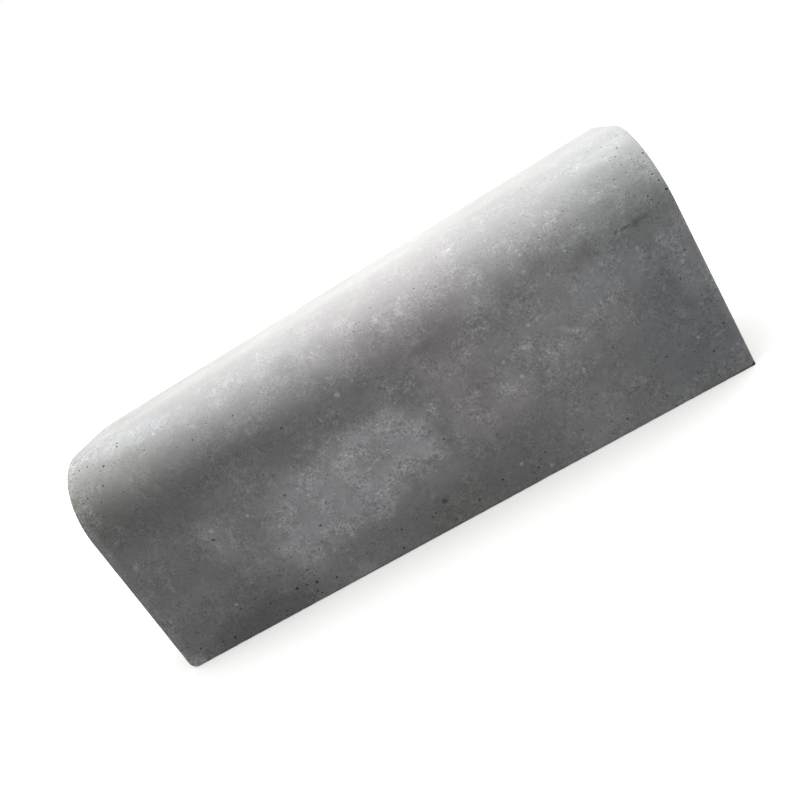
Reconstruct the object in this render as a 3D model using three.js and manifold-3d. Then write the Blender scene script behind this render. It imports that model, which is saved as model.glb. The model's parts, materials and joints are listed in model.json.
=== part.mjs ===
// Precast concrete kerb stone: a straight roadside unit with a quarter-round nose, cast in one piece.
// Millimetres. The stone stands on its base. +X runs along the kerb, the road face looks along -Y
// and +Z is up. The origin is the middle of the base.

import * as THREE from "three";
import { mergeVertices, toCreasedNormals } from "three/addons/utils/BufferGeometryUtils.js";
import Module from "manifold-3d";

// Overall size
const LENGTH = 750;
const HEIGHT = 290;
const THICKNESS = 200;

// Section: the nose turns the road face into the flat top
const NOSE_RADIUS = 90;
const BACK_ARRIS_RADIUS = 4; // rear edge of the top
const BASE_ARRIS_RADIUS = 1.5; // both long edges of the base, where the mould was struck off
const END_ARRIS_RADIUS = 1.2; // rim of each end face, no larger than the base arris

// Wear: the lower tip of the road face is rubbed off at the -X end, and the wear dies out along the base
const WORN_CORNER_RADIUS = 12;
const WORN_CORNER_RUN = 36; // from the road face back to where the end edge is whole again

// Smoothness of the round stretches
const NOSE_FACETS = 30;
const ARRIS_FACETS = 5;
const WEAR_FACETS = 8;
const CREASE_ANGLE = THREE.MathUtils.degToRad(35); // facets that meet flatter than this shade as one surface

const CONCRETE_COLOUR = 0xa9aaa7;
const CONCRETE_ROUGHNESS = 0.85;

const FRONT = -THICKNESS / 2;
const BACK = THICKNESS / 2;
const LEFT = -LENGTH / 2;
const CUT_MARGIN = 1; // how far a cutter stands out of the stone, so that no two faces coincide
const QUARTER_TURN = Math.PI / 2;

const wasm = await Module();
wasm.setup();

// A quarter circle about a centre, from one of the four axis directions to the next one anticlockwise.
function quarterArc(centreX, centreY, radius, firstQuarter, facets) {
  const start = firstQuarter * QUARTER_TURN;
  return new THREE.ArcCurve(centreX, centreY, radius, start, start + QUARTER_TURN, false).getPoints(facets);
}

// The section across the kerb, anticlockwise, with Y to the right and Z up.
function section() {
  return new THREE.Shape([
    ...quarterArc(BACK - BASE_ARRIS_RADIUS, BASE_ARRIS_RADIUS, BASE_ARRIS_RADIUS, 3, ARRIS_FACETS),
    ...quarterArc(BACK - BACK_ARRIS_RADIUS, HEIGHT - BACK_ARRIS_RADIUS, BACK_ARRIS_RADIUS, 0, ARRIS_FACETS),
    ...quarterArc(FRONT + NOSE_RADIUS, HEIGHT - NOSE_RADIUS, NOSE_RADIUS, 1, NOSE_FACETS),
    ...quarterArc(FRONT + BASE_ARRIS_RADIUS, BASE_ARRIS_RADIUS, BASE_ARRIS_RADIUS, 2, ARRIS_FACETS),
  ]);
}

// The section drawn out along X, with both end faces rounded off at their rim.
function castBlock() {
  const straight = LENGTH - 2 * END_ARRIS_RADIUS;
  const block = new THREE.ExtrudeGeometry(section(), {
    depth: straight,
    steps: 1,
    bevelEnabled: true,
    bevelThickness: END_ARRIS_RADIUS,
    bevelSize: END_ARRIS_RADIUS,
    bevelOffset: -END_ARRIS_RADIUS,
    bevelSegments: ARRIS_FACETS,
  });
  block.translate(0, 0, -straight / 2);
  return block.applyMatrix4(
    new THREE.Matrix4().makeBasis(
      new THREE.Vector3(0, 1, 0),
      new THREE.Vector3(0, 0, 1),
      new THREE.Vector3(1, 0, 0),
    ),
  );
}

// What the worn corner has lost: the area outside a round corner in the front view, drawn out along Y
// and narrowed until it is smaller than the rounded rim that it runs into.
function cornerWear() {
  const r = WORN_CORNER_RADIUS;
  const outline = new THREE.Shape([
    new THREE.Vector2(r, -CUT_MARGIN),
    ...quarterArc(r, r, r, 2, WEAR_FACETS).reverse(),
    new THREE.Vector2(-CUT_MARGIN, r),
    new THREE.Vector2(-CUT_MARGIN, -CUT_MARGIN),
  ]);
  const wear = new THREE.ExtrudeGeometry(outline, { depth: WORN_CORNER_RUN, steps: 1, bevelEnabled: false });
  const tipScale = END_ARRIS_RADIUS / (2 * r);
  const point = new THREE.Vector3();
  const place = wear.attributes.position;
  for (let i = 0; i < place.count; i += 1) {
    point.fromBufferAttribute(place, i);
    const depth = WORN_CORNER_RUN - point.z;
    const scale = THREE.MathUtils.lerp(1, tipScale, depth / WORN_CORNER_RUN);
    place.setXYZ(i, LEFT + point.x * scale, FRONT - CUT_MARGIN + depth, point.y * scale);
  }
  return wear;
}

// A three.js geometry as a solid that can be cut.
function toSolid(geometry) {
  const bare = geometry.clone();
  bare.deleteAttribute("normal");
  bare.deleteAttribute("uv");
  const merged = mergeVertices(bare);
  return new wasm.Manifold(
    new wasm.Mesh({
      numProp: 3,
      vertProperties: new Float32Array(merged.attributes.position.array),
      triVerts: new Uint32Array(merged.index.array),
    }),
  );
}

// A solid as a three.js geometry, smooth over the round stretches and sharp at the corners.
function toGeometry(solid) {
  const { vertProperties, triVerts } = solid.getMesh();
  const geometry = new THREE.BufferGeometry();
  geometry.setAttribute("position", new THREE.BufferAttribute(vertProperties, 3));
  geometry.setIndex(new THREE.BufferAttribute(triVerts, 1));
  return toCreasedNormals(geometry, CREASE_ANGLE);
}

const concrete = new THREE.MeshStandardMaterial({
  name: "cast_concrete",
  color: CONCRETE_COLOUR,
  roughness: CONCRETE_ROUGHNESS,
  metalness: 0,
});

const kerbStone = new THREE.Mesh(toGeometry(toSolid(castBlock()).subtract(toSolid(cornerWear()))), concrete);
kerbStone.name = "kerb_stone";

const model = new THREE.Group();
model.name = "kerb";
model.add(kerbStone);

export default model;
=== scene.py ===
"""Looks of a precast concrete kerb stone, as a Blender add-on that is run as a script.

The stone is cast top down in a smooth mould, so all its sides are smooth with bug holes, and its base
was struck off by hand. Metres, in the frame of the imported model: +X along the kerb, -Y out of the road
face, +Z up, origin in the middle of the base.
"""

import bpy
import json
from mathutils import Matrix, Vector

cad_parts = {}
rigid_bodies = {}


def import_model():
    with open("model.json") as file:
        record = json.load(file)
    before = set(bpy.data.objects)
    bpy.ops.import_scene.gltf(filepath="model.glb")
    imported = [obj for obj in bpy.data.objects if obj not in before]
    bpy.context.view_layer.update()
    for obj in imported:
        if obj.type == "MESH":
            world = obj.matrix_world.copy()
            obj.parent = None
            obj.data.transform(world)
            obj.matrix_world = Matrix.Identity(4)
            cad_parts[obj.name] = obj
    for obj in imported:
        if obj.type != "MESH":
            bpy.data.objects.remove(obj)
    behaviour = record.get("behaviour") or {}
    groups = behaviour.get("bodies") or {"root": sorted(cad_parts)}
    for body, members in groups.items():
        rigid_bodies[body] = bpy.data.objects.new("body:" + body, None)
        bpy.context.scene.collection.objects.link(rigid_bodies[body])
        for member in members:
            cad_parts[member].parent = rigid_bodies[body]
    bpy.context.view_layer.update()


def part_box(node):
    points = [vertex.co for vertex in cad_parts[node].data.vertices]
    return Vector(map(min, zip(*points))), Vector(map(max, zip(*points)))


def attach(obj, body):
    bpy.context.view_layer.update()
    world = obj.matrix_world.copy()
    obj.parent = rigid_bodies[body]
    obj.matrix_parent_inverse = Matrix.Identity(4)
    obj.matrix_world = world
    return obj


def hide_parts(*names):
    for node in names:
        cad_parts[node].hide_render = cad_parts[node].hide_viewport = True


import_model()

import json
import math
import random

import bmesh
import bpy
from mathutils import Euler, Matrix, Vector, noise

bl_info = {
    "name": "Concrete kerb stone",
    "version": (1, 0, 0),
    "blender": (4, 5, 0),
    "location": "3D View > Sidebar > Kerb",
    "description": "Builds a weathered precast kerb stone and a plain studio round it",
    "category": "Add Mesh",
}

MM = 0.001
NODE = "kerb_stone"
STONE_LOW, STONE_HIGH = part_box(NODE)
LENGTH, THICKNESS, HEIGHT = STONE_HIGH - STONE_LOW
LEFT, FRONT, BASE = STONE_LOW
RIGHT, BACK, TOP = STONE_HIGH
QUARTER_TURN = math.pi / 2
ALONG = Vector((1, 0, 0))


# ----------------------------------------
# Settings
# ----------------------------------------


class KerbStoneSettings(bpy.types.PropertyGroup):
    """Sizes and colours of the stone."""

    nose_radius: bpy.props.FloatProperty(
        name="Nose radius", description="Quarter round between road face and top",
        default=90 * MM, min=10 * MM, unit="LENGTH")
    back_arris: bpy.props.FloatProperty(
        name="Back arris", description="Rounding of the top's rear edge",
        default=4 * MM, min=0.5 * MM, unit="LENGTH")
    base_arris: bpy.props.FloatProperty(
        name="Base arris", description="Rounding of the base's long edges",
        default=1.5 * MM, min=0.5 * MM, unit="LENGTH")
    end_arris: bpy.props.FloatProperty(
        name="End arris", description="Rounding of the rim of both ends",
        default=1.2 * MM, min=0.5 * MM, unit="LENGTH")
    worn_corner: bpy.props.FloatProperty(
        name="Worn corner", description="Radius of the rubbed lower corner at the left end",
        default=12 * MM, min=3 * MM, unit="LENGTH")
    bug_holes: bpy.props.IntProperty(
        name="Bug holes", description="Number of scattered air holes, besides those with a set place",
        default=1000, min=0, max=1500)
    seed: bpy.props.IntProperty(
        name="Seed", description="Seed of everything scattered",
        default=11)
    cement: bpy.props.StringProperty(
        name="Cement colour", description="sRGB hex colour of the plain surface",
        default="a4a4a5")


class KerbStudioSettings(bpy.types.PropertyGroup):
    """Floor, lights and camera."""

    floor_colour: bpy.props.StringProperty(
        name="Floor", description="sRGB hex colour of the floor",
        default="f2f2f0")
    key_strength: bpy.props.FloatProperty(
        name="Key light", description="Power of the soft light overhead",
        default=39, min=0, unit="POWER")
    fill_strength: bpy.props.FloatProperty(
        name="Fill", description="Brightness of the room round the stone",
        default=0.55, min=0)
    camera_place: bpy.props.FloatVectorProperty(
        name="Camera", description="Where the camera stands",
        default=(164.8 * MM, -939.5 * MM, 391.1 * MM), subtype="XYZ", unit="LENGTH")
    heading: bpy.props.FloatProperty(
        name="Heading", description="Turn from +Y towards +X",
        default=math.radians(-9.52), subtype="ANGLE")
    pitch: bpy.props.FloatProperty(
        name="Pitch", description="Tilt below the horizon",
        default=math.radians(14.84), subtype="ANGLE")
    roll: bpy.props.FloatProperty(
        name="Roll", description="Turn about the line of sight",
        default=math.radians(32.53), subtype="ANGLE")
    lens: bpy.props.FloatProperty(
        name="Lens", description="Focal length on a square frame 36 mm wide",
        default=36.01, min=1, unit="CAMERA")


# ----------------------------------------
# Small tools
# ----------------------------------------


def linear(hex_colour):
    """A linear colour from an sRGB hex value."""
    parts = [int(hex_colour[i:i + 2], 16) / 255 for i in (0, 2, 4)]
    return [c / 12.92 if c <= 0.04045 else ((c + 0.055) / 1.055) ** 2.4 for c in parts] + [1.0]


def new_object(name, bm):
    """Turns a bmesh into an object in the scene, with its place in its mesh."""
    mesh = bpy.data.meshes.new(name)
    bm.to_mesh(mesh)
    bm.free()
    made = bpy.data.objects.new(name, mesh)
    bpy.context.scene.collection.objects.link(made)
    return made


def add_node(tree, kind, inputs=None, **settings):
    """Adds a node, sets its properties, and fills its inputs by name or number. An input takes a value,
    a socket to link, or a node, of which it links the first output."""
    node = tree.nodes.new(kind)
    for name, value in settings.items():
        setattr(node, name, value)
    for name, value in (inputs or {}).items():
        if isinstance(value, bpy.types.Node):
            value = value.outputs[0]
        if isinstance(value, bpy.types.NodeSocket):
            tree.links.new(value, node.inputs[name])
        else:
            node.inputs[name].default_value = value
    return node


# ----------------------------------------
# The stone
# ----------------------------------------

GRID = 5 * MM  # pitch of the mesh along the kerb
SECTION_GRID = 12 * MM  # pitch of the mesh on the flats of the section
NOSE_STEPS = 32
ARRIS_STEPS = 4
SUPPORT = 1.5 * MM  # width of the strip that keeps a flat truly flat beside a rounded edge
MERGE = 0.01 * MM  # vertices nearer than this become one
SLIVER = 0.001 * MM  # an edge shorter than this is an error of a cut
ON_SIDE = 0.05 * MM  # a vertex nearer to a side than this lies on it
SQUARE_ON = 0.9999  # how nearly the normal of an end face points along the kerb
SHARP_ANGLE = math.radians(32)  # edges that turn more than this shade sharp

ARRIS_RUB = 0.35 * MM  # how deep the rounded edges are rubbed
ARRIS_RUB_LENGTH = 14 * MM
BASE_RUB = 2  # times that along the base's front edge at the left end, down to nothing at the right
WORN_CORNER_RUN = 36 * MM  # how far back from the road face the worn corner reaches
WORN_CORNER_STEPS = 10
CUT_MARGIN = 1 * MM  # how far a cutter stands out of the stone

# Bug holes: air bubbles that stayed against the mould. Air rises, and the base is uppermost in the
# mould, so the holes grow towards the base
SMALLEST_HOLE = 0.5 * MM
HOLE_SPREAD = 0.34  # a larger value gives more large holes
GROWTH_AT_BASE = 1.4
GROWTH_AT_TOP = 0.46
HOLE_DEPTH = (1.2, 1.8)  # least and most, times the radius
HOLE_OVAL = (0.8, 1.2)  # least and most reach sideways, times the radius
HOLE_SINK = 0.3  # share of its depth that the middle of a hole lies under the surface
HOLE_RIPPLE = 0.12  # how uneven the wall of a hole is
FINE_HOLE = 0.8 * MM  # a hole of a larger radius has a finer wall
EDGE_CLEARANCE = 3  # how far a hole stays off the edges, times its radius
HOLE_SPACING = 1.4  # how far two holes stay apart, times both radii, with the gap below on top
HOLE_GAP = 0.3 * MM

# Share of the scattered holes that a place on the front keeps, and what is added towards the ends,
# towards the left end and towards the base
KEPT_ON_TOP = 0.1
KEPT_ON_NOSE = 0.2
KEPT_ON_FACE = 0.08
MORE_AT_NOSE_ENDS = 0.65
MORE_AT_FACE_ENDS = 0.1
MORE_TO_LEFT = 0.2
MORE_AT_BASE = 0.9
BASE_SHARE_AT_RIGHT = 0.35  # share of that from the middle to the right end. At the left it is whole
BASE_AIR_HEIGHT = 30 * MM  # over this height it falls to about a third
END_STEEPNESS = 4  # how suddenly the ends begin

LARGE_HOLES = (  # along the kerb, up the face and over the nose, radius
    (-321 * MM, 277 * MM, 1.6 * MM),  # left end of the nose
    (-300 * MM, 294 * MM, 1.5 * MM),
    (-300 * MM, 300 * MM, 1.3 * MM),
    (-344 * MM, 290 * MM, 1.2 * MM),
    (-356 * MM, 292 * MM, 1.45 * MM),
    (-365 * MM, 292 * MM, 1.1 * MM),
    (-352 * MM, 250 * MM, 1.4 * MM),
    (-360 * MM, 248 * MM, 0.95 * MM),
    (-328 * MM, 254 * MM, 1.1 * MM),
    (-338 * MM, 238 * MM, 1.0 * MM),
    (-344 * MM, 222 * MM, 1.0 * MM),
    (-362 * MM, 284 * MM, 0.65 * MM),
    (-355 * MM, 281 * MM, 0.65 * MM),
    (-357 * MM, 271 * MM, 0.6 * MM),
    (-302 * MM, 281 * MM, 0.65 * MM),
    (-300 * MM, 274 * MM, 0.6 * MM),
    (-296 * MM, 268 * MM, 0.65 * MM),
    (-279 * MM, 265 * MM, 0.65 * MM),
    (-272 * MM, 272 * MM, 0.65 * MM),
    (-311 * MM, 315 * MM, 0.9 * MM),
    (-304 * MM, 316 * MM, 0.65 * MM),
    (-315 * MM, 257 * MM, 0.7 * MM),
    (-307 * MM, 235 * MM, 0.85 * MM),
    (-357 * MM, 230 * MM, 0.85 * MM),
    (-358 * MM, 201 * MM, 0.9 * MM),
    (-224 * MM, 248 * MM, 0.9 * MM),
    (-204 * MM, 246 * MM, 1.0 * MM),
    (-148 * MM, 246 * MM, 1.2 * MM),  # middle of the nose
    (-106 * MM, 206 * MM, 1.3 * MM),
    (46 * MM, 274 * MM, 0.85 * MM),
    (24 * MM, 265 * MM, 0.75 * MM),
    (18 * MM, 258 * MM, 0.9 * MM),
    (136 * MM, 287 * MM, 0.85 * MM),
    (355 * MM, 286 * MM, 1.1 * MM),  # right end of the nose
    (341 * MM, 276 * MM, 0.75 * MM),
    (359 * MM, 283 * MM, 0.6 * MM),
    (352 * MM, 272 * MM, 0.7 * MM),
    (371.8 * MM, 263 * MM, 1.1 * MM),
    (348 * MM, 264 * MM, 0.7 * MM),
    (342 * MM, 228 * MM, 0.75 * MM),
    (353 * MM, 220 * MM, 0.85 * MM),
    (355 * MM, 215 * MM, 0.75 * MM),
    (346 * MM, 236 * MM, 0.7 * MM),
    (339 * MM, 233 * MM, 0.65 * MM),
    (364 * MM, 234 * MM, 0.75 * MM),
    (332 * MM, 242 * MM, 0.65 * MM),
    (370 * MM, 229 * MM, 0.9 * MM),
    (372.2 * MM, 217 * MM, 1.5 * MM),
    (274 * MM, 253 * MM, 0.9 * MM),
    (361 * MM, 152 * MM, 1.2 * MM),  # road face
    (364 * MM, 60 * MM, 1.15 * MM),
    (42 * MM, 101 * MM, 1.3 * MM),
    (-28 * MM, 117 * MM, 1.2 * MM),
    (-92 * MM, 132 * MM, 1.4 * MM),
    (-148 * MM, 136 * MM, 2 * MM),
    (10 * MM, 130 * MM, 1.2 * MM),
    (-126 * MM, 68 * MM, 1.3 * MM),
    (-251 * MM, 132 * MM, 1.9 * MM),
    (-362 * MM, 54 * MM, 1.2 * MM),
    (-134 * MM, 83 * MM, 1.9 * MM),
    (-144 * MM, 64 * MM, 1.4 * MM),
    (-179 * MM, 43 * MM, 1.5 * MM),
    (-203 * MM, 28 * MM, 2.5 * MM),  # along the base
    (-178 * MM, 23 * MM, 2.2 * MM),
    (-190 * MM, 26 * MM, 1.2 * MM),
    (-176 * MM, 32 * MM, 1.2 * MM),
    (-180 * MM, 8 * MM, 1.6 * MM),
    (-154 * MM, 16 * MM, 1.4 * MM),
    (-304 * MM, 11 * MM, 1.6 * MM),
    (-320 * MM, 13 * MM, 1.5 * MM),
    (-66 * MM, 8 * MM, 1.9 * MM),
    (-56 * MM, 30 * MM, 1.3 * MM),
    (4 * MM, 36 * MM, 1.4 * MM),
    (40 * MM, 16 * MM, 1.3 * MM),
    (228 * MM, 16 * MM, 1.4 * MM),
    (277 * MM, 18 * MM, 1.4 * MM),
)

# Chipped edges: start and end, the usual gap between two chips, the size of the largest, and how much
# longer and wider than deep they are
CHIPPED_EDGES = (
    (((LEFT + 20 * MM, FRONT, BASE), (RIGHT - 10 * MM, FRONT, BASE)), 8 * MM, 1.9 * MM, 2.5),
    (((LEFT + 10 * MM, BACK, BASE), (RIGHT - 10 * MM, BACK, BASE)), 14 * MM, 2 * MM, 2),
    (((LEFT, FRONT, BASE + 14 * MM), (LEFT, FRONT, TOP - 95 * MM)), 30 * MM, 1.2 * MM, 1),
    (((RIGHT, FRONT, BASE + 10 * MM), (RIGHT, FRONT, TOP - 95 * MM)), 30 * MM, 1.2 * MM, 1),
    (((LEFT, BACK, BASE + 10 * MM), (LEFT, BACK, TOP - 10 * MM)), 40 * MM, 1.8 * MM, 1),
    (((RIGHT, BACK, BASE + 10 * MM), (RIGHT, BACK, TOP - 10 * MM)), 40 * MM, 1.8 * MM, 1),
    (((LEFT, FRONT + 40 * MM, BASE), (LEFT, BACK - 8 * MM, BASE)), 14 * MM, 1.8 * MM, 1.5),
    (((RIGHT, FRONT + 8 * MM, BASE), (RIGHT, BACK - 8 * MM, BASE)), 14 * MM, 1.8 * MM, 1.5),
)
# Least and most of a chip, as a share of the largest, and then of its own size
CHIP_SIZE = (0.35, 1)
CHIP_LENGTH = (1.2, 2.6)
CHIP_WIDTH = (0.8, 1.3)
CHIP_DEPTH = (0.7, 1.2)
CHIP_RIPPLE = 0.1  # how uneven a chip is


def end_of(swept):
    """The vertex at the end of a sweep."""
    return next(g for g in swept["geom_last"] if isinstance(g, bmesh.types.BMVert))


def draw_line(bm, pen, to, pitch=None):
    """Draws a straight stretch of the outline from the pen's vertex, in steps of about the pitch."""
    way = Vector(to) - pen.co
    steps = max(1, round(way.length / pitch)) if pitch else 1
    return end_of(bmesh.ops.spin(
        bm, geom=[pen], cent=(0, 0, 0), axis=ALONG, dvec=way / steps, angle=0, steps=steps))


def draw_arc(bm, pen, centre, steps):
    """Draws a quarter round of the outline from the pen's vertex, anticlockwise seen from the +X end."""
    return end_of(bmesh.ops.spin(
        bm, geom=[pen], cent=centre, axis=ALONG, angle=QUARTER_TURN, steps=steps))


def draw_section(bm, settings):
    """Draws the outline of the section at the left end, once round from the front of the base."""
    nose, back, base = settings.nose_radius, settings.back_arris, settings.base_arris
    start = bm.verts.new((LEFT, FRONT + base + SUPPORT, BASE))
    pen = draw_line(bm, start, (LEFT, BACK - base - SUPPORT, BASE), SECTION_GRID)
    pen = draw_line(bm, pen, (LEFT, BACK - base, BASE))
    pen = draw_arc(bm, pen, (LEFT, BACK - base, BASE + base), ARRIS_STEPS)
    pen = draw_line(bm, pen, (LEFT, BACK, BASE + base + SUPPORT))
    pen = draw_line(bm, pen, (LEFT, BACK, TOP - back - SUPPORT), SECTION_GRID)
    pen = draw_line(bm, pen, (LEFT, BACK, TOP - back))
    pen = draw_arc(bm, pen, (LEFT, BACK - back, TOP - back), ARRIS_STEPS)
    pen = draw_line(bm, pen, (LEFT, BACK - back - SUPPORT, TOP))
    pen = draw_line(bm, pen, (LEFT, FRONT + nose + SUPPORT, TOP), SECTION_GRID)
    pen = draw_line(bm, pen, (LEFT, FRONT + nose, TOP))
    pen = draw_arc(bm, pen, (LEFT, FRONT + nose, TOP - nose), NOSE_STEPS)
    pen = draw_line(bm, pen, (LEFT, FRONT, TOP - nose - SUPPORT))
    pen = draw_line(bm, pen, (LEFT, FRONT, BASE + base + SUPPORT), SECTION_GRID)
    pen = draw_line(bm, pen, (LEFT, FRONT, BASE + base))
    pen = draw_arc(bm, pen, (LEFT, FRONT + base, BASE + base), ARRIS_STEPS)
    draw_line(bm, pen, start.co)
    bmesh.ops.remove_doubles(bm, verts=bm.verts, dist=MERGE)


def end_faces(bm):
    """The faces that look squarely along the kerb."""
    return [f for f in bm.faces if abs(f.normal.x) > SQUARE_ON]


def stone_body(settings):
    """The section swept along X, with the rims of both ends rounded."""
    bm = bmesh.new()
    draw_section(bm, settings)
    outline = list(bm.edges)
    bmesh.ops.contextual_create(bm, geom=outline)
    rim = settings.end_arris + SUPPORT
    steps = round((LENGTH - 2 * rim) / GRID)
    for step, count in ((rim, 1), ((LENGTH - 2 * rim) / steps, steps), (rim, 1)):
        swept = bmesh.ops.spin(
            bm, geom=outline, cent=(0, 0, 0), axis=ALONG, dvec=(step, 0, 0), angle=0, steps=count)
        outline = [g for g in swept["geom_last"] if isinstance(g, bmesh.types.BMEdge)]
    bmesh.ops.contextual_create(bm, geom=outline)
    bmesh.ops.recalc_face_normals(bm, faces=bm.faces)
    round_rims(bm, settings.end_arris)
    return bm


def round_rims(bm, arris):
    """Rounds the rims of both ends, and gives each end face a border and a grid."""
    rims = {e for f in end_faces(bm) for e in f.edges}
    bmesh.ops.bevel(
        bm, geom=list(rims), offset=arris, offset_type="OFFSET", segments=ARRIS_STEPS - 1, profile=0.5,
        affect="EDGES", material=-1)
    # The bevel leaves a cluster of vertices in both lower corners of an end face. Each becomes one
    tips = []
    for end in end_faces(bm):
        for y in (FRONT + arris, BACK - arris):
            corner = Vector((end.verts[0].co.x, y, BASE + arris))
            tips.append((corner, [v for v in end.verts if (v.co - corner).length < 0.5 * SUPPORT]))
    for corner, tip in tips:
        bmesh.ops.pointmerge(bm, verts=tip, merge_co=corner)
    bmesh.ops.inset_individual(bm, faces=end_faces(bm), thickness=SUPPORT, use_even_offset=True)
    for end in [f for f in end_faces(bm) if len(f.verts) > 4]:
        grid_face(bm, end)


def grid_face(bm, face):
    """Cuts an end face into a grid like the other flats have."""
    piece = [face, *face.edges, *face.verts]
    for axis, low, high in ((1, FRONT, BACK), (2, BASE, TOP)):
        count = round((high - low) / SECTION_GRID)
        across = Vector((0, axis == 1, axis == 2))
        for i in range(1, count):
            place = across * (low + (high - low) * i / count)
            piece = bmesh.ops.bisect_plane(
                bm, geom=piece, dist=SLIVER, plane_co=place, plane_no=across)["geom"]


def wobble_arrises(bm, settings):
    """Rubs the rounded edges unevenly, always inwards, and leaves the flats and the nose as they are."""
    sides = ((0, LEFT), (0, RIGHT), (1, FRONT), (1, BACK), (2, BASE), (2, TOP))
    for vert in bm.verts:
        on_rim = LENGTH / 2 - abs(vert.co.x) < settings.end_arris - ON_SIDE
        on_nose = vert.co.y < FRONT + settings.nose_radius and vert.co.z > TOP - settings.nose_radius
        on_flat = any(abs(vert.co[axis] - side) < ON_SIDE for axis, side in sides)
        on_end = LENGTH / 2 - abs(vert.co.x) < ON_SIDE
        if on_end or not on_rim and (on_nose or on_flat):
            continue
        depth = ARRIS_RUB * (0.5 + 0.5 * noise.noise(vert.co / ARRIS_RUB_LENGTH))
        if vert.co.z < BASE + settings.base_arris and vert.co.y < 0:
            depth *= BASE_RUB * (0.5 - vert.co.x / LENGTH)
        vert.co -= vert.normal * depth


def face_point(x, girth, nose):
    """The point and the way out at a distance round the stone: up the road face from the base, over the
    nose, back along the top and down the back."""
    face, arc, flat = HEIGHT - nose, QUARTER_TURN * nose, THICKNESS - nose
    if girth < face:
        return Vector((x, FRONT, BASE + girth)), Vector((0, -1, 0))
    if girth < face + arc:
        turn = (girth - face) / nose
        out = Vector((0, -math.cos(turn), math.sin(turn)))
        return Vector((x, FRONT + nose, TOP - nose)) + nose * out, out
    if girth < face + arc + flat:
        return Vector((x, FRONT + nose + girth - face - arc, TOP)), Vector((0, 0, 1))
    return Vector((x, BACK, TOP - (girth - face - arc - flat))), Vector((0, 1, 0))


def hole_density(x, girth, nose):
    """How many bug holes the front of the stone keeps: most at the ends of the nose and along the base,
    where air is trapped in the mould."""
    face, arc = HEIGHT - nose, QUARTER_TURN * nose
    ends = abs(2 * x / LENGTH) ** END_STEEPNESS
    left = max(0.0, -2 * x / LENGTH)
    if girth > face + arc:
        return KEPT_ON_TOP
    if girth > face:
        return KEPT_ON_NOSE + MORE_AT_NOSE_ENDS * ends
    low = math.exp(-girth / BASE_AIR_HEIGHT) * (BASE_SHARE_AT_RIGHT + (1 - BASE_SHARE_AT_RIGHT) * left)
    return min(1.0, KEPT_ON_FACE + MORE_TO_LEFT * left + MORE_AT_FACE_ENDS * ends + MORE_AT_BASE * low)


def hole_on_front(edge, nose, dice):
    """A place on the road face, the nose or the top, found where the holes are dense enough."""
    girth = (HEIGHT - nose) + QUARTER_TURN * nose + (THICKNESS - nose)
    while True:
        x, up = dice.uniform(LEFT + edge, RIGHT - edge), dice.uniform(edge, girth - edge)
        if dice.random() < hole_density(x, up, nose):
            return face_point(x, up, nose)


def hole_on_back(edge, _nose, dice):
    """A place on the back."""
    x, z = dice.uniform(LEFT + edge, RIGHT - edge), dice.uniform(BASE + edge, TOP - edge)
    return Vector((x, BACK, z)), Vector((0, 1, 0))


def hole_on_base(edge, _nose, dice):
    """A place on the base."""
    x, y = dice.uniform(LEFT + edge, RIGHT - edge), dice.uniform(FRONT + edge, BACK - edge)
    return Vector((x, y, BASE)), Vector((0, 0, -1))


def hole_on_end(edge, nose, dice):
    """A place on either end, clear of the round of the nose."""
    out = Vector((dice.choice((-1, 1)), 0, 0))
    while True:
        y, z = dice.uniform(FRONT + edge, BACK - edge), dice.uniform(BASE + edge, TOP - edge)
        past = Vector((FRONT + nose - y, z - TOP + nose))
        if min(past) < 0 or past.length < nose - edge:
            return Vector((out.x * LENGTH / 2, y, z)), out


# Where the bug holes are, the share of each place and its largest hole. All finders are called alike.
# The front has its large holes in LARGE_HOLES
HOLE_SHARES = (
    (hole_on_front, 0.56, 1.0 * MM),
    (hole_on_back, 0.22, 1.8 * MM),
    (hole_on_end, 0.13, 1.5 * MM),
    (hole_on_base, 0.09, 1.5 * MM),
)


def scatter_holes(settings, dice):
    """Places the bug holes. Each is a point, the way out of the stone, and a radius."""
    nose = settings.nose_radius
    places = [(*face_point(x, up, nose), radius) for x, up, radius in LARGE_HOLES]
    for find, share, largest in HOLE_SHARES:
        wanted = len(places) + round(share * settings.bug_holes)
        while len(places) < wanted:
            radius = min(SMALLEST_HOLE * (1 - dice.random()) ** -HOLE_SPREAD, largest)
            point, out = find(settings.base_arris + EDGE_CLEARANCE * radius, nose, dice)
            radius *= GROWTH_AT_BASE + (GROWTH_AT_TOP - GROWTH_AT_BASE) * (point.z - BASE) / HEIGHT
            if all((point - other).length > HOLE_SPACING * (radius + reach) + HOLE_GAP
                   for other, _, reach in places):
                places.append((point, out, radius))
    return places


def joined(parts):
    """One bmesh that holds many small ones."""
    whole = bmesh.new()
    for part in parts:
        mesh = bpy.data.meshes.new("part")
        part.to_mesh(mesh)
        part.free()
        whole.from_mesh(mesh)
        bpy.data.meshes.remove(mesh)
    return whole


def lump(place, radius, sizes, detail, ripple, dice):
    """A squashed ball with an uneven surface, turned and set at its place."""
    bm = bmesh.new()
    ball = bmesh.ops.create_icosphere(bm, subdivisions=detail, radius=radius)
    for vert in ball["verts"]:
        vert.co *= 1 + dice.uniform(-ripple, ripple)
    bmesh.ops.transform(bm, matrix=place @ Matrix.Diagonal((*sizes, 1)), verts=bm.verts)
    return bm


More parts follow.
